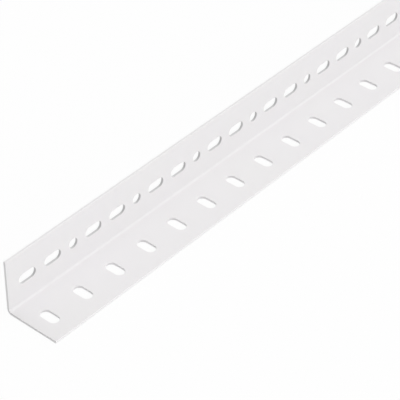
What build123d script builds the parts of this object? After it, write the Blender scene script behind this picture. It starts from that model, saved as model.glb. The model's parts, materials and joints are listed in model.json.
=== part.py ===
from build123d import *
import os

# Slotted steel angle: one length of cold-rolled strip, bent to an equal angle, punched in both legs and
# coated white.
# Sizes are in millimetres. X runs along the length and Z is up. The angle lies on its base leg, with the
# upright leg along the +Y side, and the origin is on the floor, below the middle of the length and of the
# base leg's width.

# Section
BASE_WIDTH = 35.5  # the leg on the floor, over the outside of the bend
UPRIGHT_HEIGHT = 35.5  # the upright leg, over the outside of the bend
THICKNESS = 1.5
BEND_RADIUS = 1.5  # inside of the bend

# Stock length
LENGTH = 1000.0

# Base leg: one row of slots that lie across the length
CROSS_PITCH = 25.0
CROSS_FROM_END = 11.5  # the first slot's centre, from the -X end
CROSS_FROM_HEEL = 19.7  # the row's centre line, from the outside of the bend
CROSS_LENGTH = 12.2
CROSS_WIDTH = 6.3

# Upright leg: one row of slot pairs along the length, with a round hole between each pair and the next
PAIR_PITCH = 50.0
PAIR_FROM_END = CROSS_FROM_END + CROSS_PITCH / 2  # the middle of the first pair, from the -X end
PAIR_SPACING = 18.75  # between the centres of a pair's two slots
ALONG_FROM_HEEL = 17.4  # the row's centre line, from the outside of the bend
ALONG_LENGTH = 12.2
ALONG_WIDTH = 6.2
ROUND_DIAMETER = 6.2

END_MARGIN = 3.0  # steel left between a hole and the cut end: a hole that would come closer isn't punched

NEAR_END_X = -LENGTH / 2
HEEL_Y = BASE_WIDTH / 2  # outside face of the upright leg


def row(first, pitch, hole_length):
    """Places along X of a row of holes, as far as they leave the end margin at both ends."""
    clear = END_MARGIN + hole_length / 2
    count = int((LENGTH - first) / pitch) + 1
    from_end = [first + index * pitch for index in range(count)]
    return [NEAR_END_X + x for x in from_end if clear <= x <= LENGTH - clear]


def section():
    """The angle's outline in the YZ plane: two legs joined by a bend of even thickness."""
    outer_radius = BEND_RADIUS + THICKNESS
    with BuildSketch(Plane.YZ) as outline:
        with BuildLine():
            Polyline(
                (HEEL_Y - outer_radius, 0),
                (HEEL_Y - BASE_WIDTH, 0),
                (HEEL_Y - BASE_WIDTH, THICKNESS),
                (HEEL_Y - outer_radius, THICKNESS),
            )
            RadiusArc(
                (HEEL_Y - outer_radius, THICKNESS),
                (HEEL_Y - THICKNESS, outer_radius),
                -BEND_RADIUS,
            )
            Polyline(
                (HEEL_Y - THICKNESS, outer_radius),
                (HEEL_Y - THICKNESS, UPRIGHT_HEIGHT),
                (HEEL_Y, UPRIGHT_HEIGHT),
                (HEEL_Y, outer_radius),
            )
            RadiusArc(
                (HEEL_Y, outer_radius),
                (HEEL_Y - outer_radius, 0),
                outer_radius,
            )
        make_face()
    return outline.sketch


def cross_slots():
    """Punches for the base leg."""
    slots = row(CROSS_FROM_END, CROSS_PITCH, CROSS_WIDTH)
    with BuildPart() as punches:
        with BuildSketch(Plane.XY):
            with Locations(*[(x, HEEL_Y - CROSS_FROM_HEEL) for x in slots]):
                SlotOverall(CROSS_LENGTH, CROSS_WIDTH, rotation=90)
        extrude(amount=THICKNESS)
    return punches.part


def upright_holes():
    """Punches for the upright leg: the slot pairs, and a round hole half way from each to the next."""
    slots = [
        x
        for side in (-1, 1)
        for x in row(PAIR_FROM_END + side * PAIR_SPACING / 2, PAIR_PITCH, ALONG_LENGTH)
    ]
    rounds = row(PAIR_FROM_END + PAIR_PITCH / 2, PAIR_PITCH, ROUND_DIAMETER)
    with BuildPart() as punches:
        with BuildSketch(Plane.XZ.offset(-HEEL_Y)):
            with Locations(*[(x, ALONG_FROM_HEEL) for x in slots]):
                SlotOverall(ALONG_LENGTH, ALONG_WIDTH)
            with Locations(*[(x, ALONG_FROM_HEEL) for x in rounds]):
                Circle(ROUND_DIAMETER / 2)
        extrude(amount=THICKNESS)
    return punches.part


def slotted_angle():
    """The finished length: the bent section, extruded and punched."""
    strip = extrude(section(), amount=LENGTH / 2, dir=(1, 0, 0), both=True)
    return strip - cross_slots() - upright_holes()


os.makedirs("parts", exist_ok=True)
export_step(slotted_angle(), "parts/slotted_angle.step")
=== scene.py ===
import json
import math

import bmesh
import bpy
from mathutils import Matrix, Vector


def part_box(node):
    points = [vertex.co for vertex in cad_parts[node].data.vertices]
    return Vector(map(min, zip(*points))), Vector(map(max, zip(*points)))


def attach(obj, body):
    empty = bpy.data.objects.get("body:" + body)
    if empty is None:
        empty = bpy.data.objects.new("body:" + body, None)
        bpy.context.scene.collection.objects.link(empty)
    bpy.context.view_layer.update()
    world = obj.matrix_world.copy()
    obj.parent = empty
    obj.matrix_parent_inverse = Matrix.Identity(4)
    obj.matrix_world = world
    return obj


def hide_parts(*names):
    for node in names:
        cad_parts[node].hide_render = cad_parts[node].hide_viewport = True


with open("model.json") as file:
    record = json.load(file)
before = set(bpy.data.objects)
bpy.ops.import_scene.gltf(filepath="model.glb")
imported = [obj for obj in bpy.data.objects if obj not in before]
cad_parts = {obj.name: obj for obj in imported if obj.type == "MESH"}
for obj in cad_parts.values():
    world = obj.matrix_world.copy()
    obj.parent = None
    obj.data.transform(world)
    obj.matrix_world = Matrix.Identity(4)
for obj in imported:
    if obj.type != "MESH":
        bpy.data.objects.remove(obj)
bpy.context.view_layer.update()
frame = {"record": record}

# Looks of the slotted steel angle: a satin white powder coating that rounds every punched and cut edge, on
# a white floor in soft studio light. Lengths are in metres, in the part's own frame.

NODE = "slotted_angle"
MILLIMETRE = 0.001

# Directions of the part
ALONG = Vector((1, 0, 0))  # its length, from the near end
OUT = Vector((0, 1, 0))  # across the base leg, out at the heel
UP = Vector((0, 0, 1))

# Section: the box of the part gives its legs
THICKNESS = 1.5 * MILLIMETRE
BEND_RADIUS = 1.5 * MILLIMETRE  # inside of the bend

# Rounding of the coated edges, and the steps that each round stretch is made in
EDGE_RADIUS = 0.35 * MILLIMETRE  # rolled edges along both legs
CUT_RADIUS = 0.15 * MILLIMETRE  # sawn ends
RIM_RADIUS = 0.2 * MILLIMETRE  # punched holes
BEND_STEPS = 8  # of a quarter turn along the bend and the legs' edges
RIM_STEPS = 3  # of a quarter turn round a rim or a cut
HOLE_STEPS = 20  # of half a turn round a hole

# Coating
WHITE_WARM = (0.866, 0.857, 0.852, 1.0)
WHITE_COOL = (0.867, 0.851, 0.869, 1.0)
WALL_SHADE_COLOUR = (0.68, 0.675, 0.68, 1.0)  # painted shade: the grey that the punched walls are mixed towards, standing in for the shade in the holes
PAINTED_SHADE_ATTRIBUTE = "painted_wall_shade"  # attribute that says how much painted shade: 0 on the faces, more on the punched walls
BASE_WALL_SHADE = 0.15  # painted shade on the walls of the base leg's slots, a little
UPRIGHT_WALL_SHADE = 1.0  # painted shade on the walls of the upright leg's holes, in full
PATCH_SIZE = 60 * MILLIMETRE  # faint drift of the white along the stock
PATCH_DETAIL = 2
PEEL_SIZE = 1.6 * MILLIMETRE  # waves of a powder coating
PEEL_DETAIL = 1
PEEL_HEIGHT = 0.01 * MILLIMETRE
GRAIN_SIZE = 0.25 * MILLIMETRE  # fine grain on the waves
GRAIN_DETAIL = 2
GRAIN_HEIGHT = 0.0016 * MILLIMETRE
ROUGHNESS = (0.36, 0.46)  # from the waves' hollows to their tops

# Camera, fitted to the holes and edges that the photograph shows
IMAGE_SIZE = 400  # pixels
FOCAL_LENGTH = 1870.5  # pixels
SENSOR_WIDTH = 36.0  # millimetres of film
CAMERA_YAW = math.radians(41.02)  # from +X towards +Y
CAMERA_PITCH = math.radians(39.086)  # below the horizon
CAMERA_DISTANCE = 1023.5 * MILLIMETRE
TARGET_FROM_NEAR_END = 120.0 * MILLIMETRE
TARGET_FROM_HEEL = 29.2 * MILLIMETRE
TARGET_HEIGHT = 18.334 * MILLIMETRE

# Stage and light
FLOOR_SIZE = 30.0
FLOOR_GAP = 0.2 * MILLIMETRE  # below the part
FLOOR_WHITE = 0.8
FLOOR_GLOW = 0.1  # the floor is a lit table
SHADOW_SHARE = 0.05  # how much of the floor's own shading the camera sees
TENT_SIDE = Vector((0.62, -0.46, 0.58))  # the bright side of the light tent round the part
TENT_EDGE = (0.22, 0.75)  # the stretch from its dark side to its bright side
TENT_LIGHT = (0.37, 1.42)  # dark and bright
TENT_SEEN = 1.0  # its plain white to the camera
KEY_PLACE = Vector((0.4, -1.4, 1.6))  # a softbox, from the middle of the view
KEY_SIZE = 2.0
KEY_POWER = 2.0


class Skin:
    """A mesh in the making: how the surface faces and how much painted shade its colour gets at each
    vertex.
    """

    def __init__(self):
        self.mesh = bmesh.new()
        self.facings = []
        self.painted_shade = []

    def ring(self, points, painted_shade=0.0):
        """A closed ring of vertices, from places and facings."""
        self.facings += [facing for place, facing in points]
        self.painted_shade += [painted_shade] * len(points)
        return [self.mesh.verts.new(place) for place, facing in points]

    def band(self, ring, next_ring, left_open=()):
        """Faces from one ring to the next, apart from the stretches that stay open."""
        for index in range(len(ring)):
            following = (index + 1) % len(ring)
            if index not in left_open:
                self.mesh.faces.new((ring[index], ring[following], next_ring[following], next_ring[index]))

    def fill(self, facing, *loops):
        """A flat face inside the first loop and outside the others."""
        pairs = [pair for loop in loops for pair in zip(loop, loop[1:] + loop[:1])]
        edges = [self.mesh.edges.get(pair) for pair in pairs]
        bmesh.ops.triangle_fill(self.mesh, edges=edges, normal=facing, use_beauty=True)

    def finish(self, name):
        """The mesh as an object, shaded by its facings."""
        bmesh.ops.recalc_face_normals(self.mesh, faces=self.mesh.faces)
        data = bpy.data.meshes.new(name)
        self.mesh.to_mesh(data)
        self.mesh.free()
        data.shade_smooth()
        data.normals_split_custom_set_from_vertices(self.facings)
        # painted shade: how grey each vertex's colour is painted, 0 on the faces, more on the punched
        # walls
        data.attributes.new(PAINTED_SHADE_ATTRIBUTE, "FLOAT", "POINT").data.foreach_set("value", self.painted_shade)
        piece = bpy.data.objects.new(name, data)
        bpy.context.scene.collection.objects.link(piece)
        return piece


def quarter(steps):
    """Cosine and sine of the steps of a quarter turn."""
    angles = [math.pi / 2 * step / steps for step in range(steps + 1)]
    return [(math.cos(angle), math.sin(angle)) for angle in angles]


def arc(y, z, radius, start, end):
    """A round corner of the section, from one way to another: its places and outward facings."""
    turns = [cosine * start + sine * end for cosine, sine in quarter(BEND_STEPS)]
    return [(Vector((0, y, z)) + radius * turn, turn) for turn in turns]


def section(left, heel, top):
    """The section's six corners, in order round its outline, which is straight from each to the next."""
    bend = BEND_RADIUS + THICKNESS
    edge = EDGE_RADIUS
    hollow = [(place, -facing) for place, facing in arc(heel - bend, bend, BEND_RADIUS, OUT, -UP)]
    return [
        arc(left + edge, edge, edge, -OUT, -UP),
        arc(heel - bend, bend, bend, -UP, OUT),
        arc(heel - edge, top - edge, edge, OUT, UP),
        arc(heel - THICKNESS + edge, top - edge, edge, UP, -OUT),
        hollow,
        arc(left + edge, THICKNESS - edge, edge, UP, -OUT),
    ]


def cut_end(skin, outline, x, inward):
    """Rings round one cut end, from its flat face to where the even length begins."""
    rings = []
    for along, across in quarter(RIM_STEPS):
        depth = CUT_RADIUS * (1 - along) * inward
        inset = CUT_RADIUS * (1 - across)
        rings.append(skin.ring([
            (place - inset * facing + x * ALONG + depth, across * facing - along * inward)
            for place, facing in outline
        ]))
    for ring, next_ring in zip(rings, rings[1:]):
        skin.band(ring, next_ring)
    skin.mesh.faces.new(rings[0])
    return rings[-1]


def hole_outline(slot_length, radius, along, across):
    """Places and outward ways round a hole, about its centre. A round hole has no straight stretch."""
    straight = slot_length / 2 - radius
    steps = HOLE_STEPS + 1 if straight > 0 else HOLE_STEPS
    points = []
    for end in (1, -1):
        for step in range(steps):
            angle = math.pi * (step / HOLE_STEPS - 0.5)
            way = end * (math.cos(angle) * along + math.sin(angle) * across)
            points.append((end * straight * along + radius * way, way))
    return points


def punch(skin, centre, facing, outline, painted_shade):
    """One hole's rounded rims and its wall, whose colour gets painted shade.

    Gives its loop on the face that it is punched from, and on the other.
    """
    front = [
        (RIM_RADIUS * (1 - out), RIM_RADIUS * (1 - side), out, side)
        for out, side in quarter(RIM_STEPS)
    ]
    back = [(THICKNESS - depth, spread, -out, side) for depth, spread, out, side in reversed(front)]
    rings = []
    for depth, spread, out, side in front + back:
        rings.append(skin.ring([
            (centre + place + spread * way - depth * facing, out * facing - side * way)
            for place, way in outline
        ], painted_shade * side))
    for ring, next_ring in zip(rings, rings[1:]):
        skin.band(ring, next_ring)
    return rings[0], rings[-1]


def row(first, last, pitch):
    """Places from the first to the last, a pitch apart."""
    return [first + pitch * index for index in range(round((last - first) / pitch) + 1)]


def base_holes(skin, mounts):
    """The slots across the base leg, in one row. Gives their loops on its top and underneath."""
    first, second, last = (mounts["base_slot_" + name] for name in ("near_1", "near_2", "far_3"))
    pitch = second["pos_m"][0] - first["pos_m"][0]
    sizes = first["dims"]
    radius = sizes["hole_r_mm"] * MILLIMETRE
    slot = hole_outline(sizes["slot_length_mm"] * MILLIMETRE, radius, OUT, -ALONG)
    loops = [
        punch(skin, Vector((x, first["pos_m"][1], THICKNESS)), UP, slot, BASE_WALL_SHADE)
        for x in row(first["pos_m"][0], last["pos_m"][0], pitch)
    ]
    return zip(*loops)


def upright_holes(skin, mounts, heel):
    """The upright leg's pairs of slots, with a round hole from each pair to the next.

    Gives their loops on its inside and its outside.
    """
    near, far, rounds = (
        mounts["upright_" + name] for name in ("slots_near_end", "slots_far_end", "round_holes")
    )
    radius = near["dims"]["hole_r_mm"] * MILLIMETRE
    slot = hole_outline(near["dims"]["slot_length_mm"] * MILLIMETRE, radius, ALONG, UP)
    radius = rounds["dims"]["hole_r_mm"] * MILLIMETRE
    circle = hole_outline(2 * radius, radius, ALONG, UP)
    half_spacing = near["dims"]["spacing_x_mm"] * MILLIMETRE / 2
    pitch = rounds["dims"]["spacing_x_mm"] * MILLIMETRE
    height = near["pos_m"][2]
    pairs = row(near["pos_m"][0], far["pos_m"][0], pitch)
    places = [(x + side * half_spacing, slot) for x in pairs for side in (-1, 1)]
    places += [(x + pitch / 2, circle) for x in pairs[:-1]]
    loops = [
        punch(skin, Vector((x, heel - THICKNESS, height)), -OUT, outline, UPRIGHT_WALL_SHADE)
        for x, outline in places
    ]
    return zip(*loops)


def coated_angle():
    """The part with its coated edges: the bent strip, its two cut ends and the holes in both legs."""
    low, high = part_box(NODE)
    mounts = {mount["name"]: mount for mount in frame["record"]["mounts"]}
    skin = Skin()
    corners = section(low.y, high.y, high.z)
    outline = [point for corner in corners for point in corner]
    near = cut_end(skin, outline, low.x, ALONG)
    far = cut_end(skin, outline, high.x, -ALONG)

    # A flat face lies between the last point of a corner and the first of the next
    corner_points = BEND_STEPS + 1
    underneath, outside, inside, top = (corner * corner_points + BEND_STEPS for corner in (0, 1, 3, 4))
    skin.band(near, far, left_open=(underneath, outside, inside, top))
    top_loops, bottom_loops = base_holes(skin, mounts)
    inner_loops, outer_loops = upright_holes(skin, mounts, high.y)
    for start, facing, loops in (
        (underneath, -UP, bottom_loops),
        (outside, OUT, outer_loops),
        (inside, -OUT, inner_loops),
        (top, UP, top_loops),
    ):
        skin.fill(facing, [near[start], near[start + 1], far[start + 1], far[start]], *loops)

    piece = skin.finish("slotted_angle_coated")
    piece.data.materials.append(white_coating())
    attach(piece, "root")
    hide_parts(NODE)


def new_material(name):
    """An empty node material, its tree and its output."""
    material = bpy.data.materials.new(name)
    material.use_nodes = True
    tree = material.node_tree
    tree.nodes.clear()
    return material, tree, tree.nodes.new("ShaderNodeOutputMaterial")


def noise(tree, place, size, detail):
    """A noise whose features are about that size across."""
    node = tree.nodes.new("ShaderNodeTexNoise")
    node.inputs["Scale"].default_value = 1 / size
    node.inputs["Detail"].default_value = detail
    tree.links.new(place, node.inputs["Vector"])
    return node.outputs["Fac"]


def bump(tree, height, distance, normal=None):
    """Relief of that height, on top of another relief's normal if there is one."""
    node = tree.nodes.new("ShaderNodeBump")
    node.inputs["Distance"].default_value = distance
    tree.links.new(height, node.inputs["Height"])
    if normal:
        tree.links.new(normal, node.inputs["Normal"])
    return node.outputs["Normal"]


def white_coating():
    """Satin white powder coating, with painted shade greying the punched walls, waves, a fine grain and a
    faint drift.
    """
    material, tree, output = new_material("white_coating")
    shader = tree.nodes.new("ShaderNodeBsdfPrincipled")
    place = tree.nodes.new("ShaderNodeTexCoord").outputs["Object"]

    tint = tree.nodes.new("ShaderNodeMix")
    tint.data_type = "RGBA"
    tint.inputs["A"].default_value = WHITE_WARM
    tint.inputs["B"].default_value = WHITE_COOL
    tree.links.new(noise(tree, place, PATCH_SIZE, PATCH_DETAIL), tint.inputs["Factor"])
    # painted shade: the punched walls are mixed towards a grey that stands in for their shade
    painted_shade = tree.nodes.new("ShaderNodeAttribute")
    painted_shade.attribute_name = PAINTED_SHADE_ATTRIBUTE
    wall_shade_mix = tree.nodes.new("ShaderNodeMix")
    wall_shade_mix.data_type = "RGBA"
    wall_shade_mix.inputs["B"].default_value = WALL_SHADE_COLOUR
    tree.links.new(tint.outputs["Result"], wall_shade_mix.inputs["A"])
    tree.links.new(painted_shade.outputs["Fac"], wall_shade_mix.inputs["Factor"])
    tree.links.new(wall_shade_mix.outputs["Result"], shader.inputs["Base Color"])

    peel = noise(tree, place, PEEL_SIZE, PEEL_DETAIL)
    gloss = tree.nodes.new("ShaderNodeMapRange")
    gloss.inputs["To Min"].default_value, gloss.inputs["To Max"].default_value = ROUGHNESS
    tree.links.new(peel, gloss.inputs["Value"])
    tree.links.new(gloss.outputs["Result"], shader.inputs["Roughness"])

    waves = bump(tree, peel, PEEL_HEIGHT)
    grain = bump(tree, noise(tree, place, GRAIN_SIZE, GRAIN_DETAIL), GRAIN_HEIGHT, waves)
    tree.links.new(grain, shader.inputs["Normal"])
    tree.links.new(shader.outputs["BSDF"], output.inputs["Surface"])
    return material


def math_node(tree, operation, first, second):
    """The result of one operation on two sockets or numbers."""
    node = tree.nodes.new("ShaderNodeMath")
    node.operation = operation
    for value, socket in zip((first, second), node.inputs):
        if isinstance(value, (int, float)):
            socket.default_value = value
        else:
            tree.links.new(value, socket)
    return node.outputs["Value"]


def seen_directly(tree):
    """1 for what the camera sees, in a reflection or glass too, and 0 for the light on surfaces."""
    path = tree.nodes.new("ShaderNodeLightPath").outputs
    reflected = math_node(tree, "MAXIMUM", path["Is Glossy Ray"], path["Is Transmission Ray"])
    return math_node(tree, "MAXIMUM", path["Is Camera Ray"], reflected)


def floor_white():
    """White floor: plain white to the camera, with a share of its own shading so that the shadow stays."""
    material, tree, output = new_material("floor_white")
    material.cycles.emission_sampling = "NONE"
    paint = tree.nodes.new("ShaderNodeBsdfDiffuse")
    paint.inputs["Color"].default_value = (FLOOR_WHITE, FLOOR_WHITE, FLOOR_WHITE, 1.0)
    glow = tree.nodes.new("ShaderNodeEmission")
    glow.inputs["Strength"].default_value = FLOOR_GLOW
    lit = tree.nodes.new("ShaderNodeAddShader")
    tree.links.new(paint.outputs["BSDF"], lit.inputs[0])
    tree.links.new(glow.outputs["Emission"], lit.inputs[1])
    white = tree.nodes.new("ShaderNodeEmission")
    mix = tree.nodes.new("ShaderNodeMixShader")
    tree.links.new(math_node(tree, "MULTIPLY", seen_directly(tree), 1 - SHADOW_SHARE), mix.inputs["Fac"])
    tree.links.new(lit.outputs["Shader"], mix.inputs[1])
    tree.links.new(white.outputs["Emission"], mix.inputs[2])
    tree.links.new(mix.outputs["Shader"], output.inputs["Surface"])
    return material


def add_floor():
    """The floor, a little below the part."""
    bpy.ops.mesh.primitive_plane_add(size=FLOOR_SIZE, location=(0, 0, -FLOOR_GAP))
    floor = bpy.context.object
    floor.name = "floor"
    floor.data.materials.append(floor_white())


def light_tent():
    """Soft light from all round, with a dark and a bright side. The camera sees it as plain white."""
    world = bpy.data.worlds.new("light_tent")
    bpy.context.scene.world = world
    world.use_nodes = True
    tree = world.node_tree
    background = tree.nodes["Background"]
    background.inputs["Color"].default_value = (1.0, 1.0, 1.0, 1.0)
    side = tree.nodes.new("ShaderNodeVectorMath")
    side.operation = "DOT_PRODUCT"
    tree.links.new(tree.nodes.new("ShaderNodeTexCoord").outputs["Generated"], side.inputs[0])
    side.inputs[1].default_value = TENT_SIDE.normalized()
    light = tree.nodes.new("ShaderNodeMapRange")
    light.interpolation_type = "SMOOTHSTEP"
    light.inputs["From Min"].default_value, light.inputs["From Max"].default_value = TENT_EDGE
    light.inputs["To Min"].default_value, light.inputs["To Max"].default_value = TENT_LIGHT
    tree.links.new(side.outputs["Value"], light.inputs["Value"])
    strength = tree.nodes.new("ShaderNodeMix")
    tree.links.new(seen_directly(tree), strength.inputs["Factor"])
    tree.links.new(light.outputs["Result"], strength.inputs["A"])
    strength.inputs["B"].default_value = TENT_SEEN
    tree.links.new(strength.outputs["Result"], background.inputs["Strength"])


def add_softbox(name, place, aim, size, power):
    """A square area light at one place, turned to another."""
    data = bpy.data.lights.new(name, "AREA")
    data.size = size
    data.energy = power
    lamp = bpy.data.objects.new(name, data)
    bpy.context.scene.collection.objects.link(lamp)
    lamp.location = place
    lamp.rotation_mode = "QUATERNION"
    lamp.rotation_quaternion = (aim - place).to_track_quat("-Z", "Y")


def add_camera(target):
    """The photograph's view, level, with its long lens."""
    data = bpy.data.cameras.new("camera")
    data.sensor_width = SENSOR_WIDTH
    data.lens = SENSOR_WIDTH * FOCAL_LENGTH / IMAGE_SIZE
    camera = bpy.data.objects.new("camera", data)
    bpy.context.scene.collection.objects.link(camera)
    ahead = Vector((
        math.cos(CAMERA_PITCH) * math.cos(CAMERA_YAW),
        math.cos(CAMERA_PITCH) * math.sin(CAMERA_YAW),
        -math.sin(CAMERA_PITCH),
    ))
    camera.location = target - CAMERA_DISTANCE * ahead
    camera.rotation_mode = "QUATERNION"
    camera.rotation_quaternion = ahead.to_track_quat("-Z", "Y")
    bpy.context.scene.camera = camera


low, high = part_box(NODE)
target = Vector((low.x + TARGET_FROM_NEAR_END, high.y - TARGET_FROM_HEEL, TARGET_HEIGHT))
coated_angle()
add_floor()
light_tent()
add_softbox("key_softbox", target + KEY_PLACE, target, KEY_SIZE, KEY_POWER)
add_camera(target)
bpy.context.scene.view_settings.view_transform = "Standard"
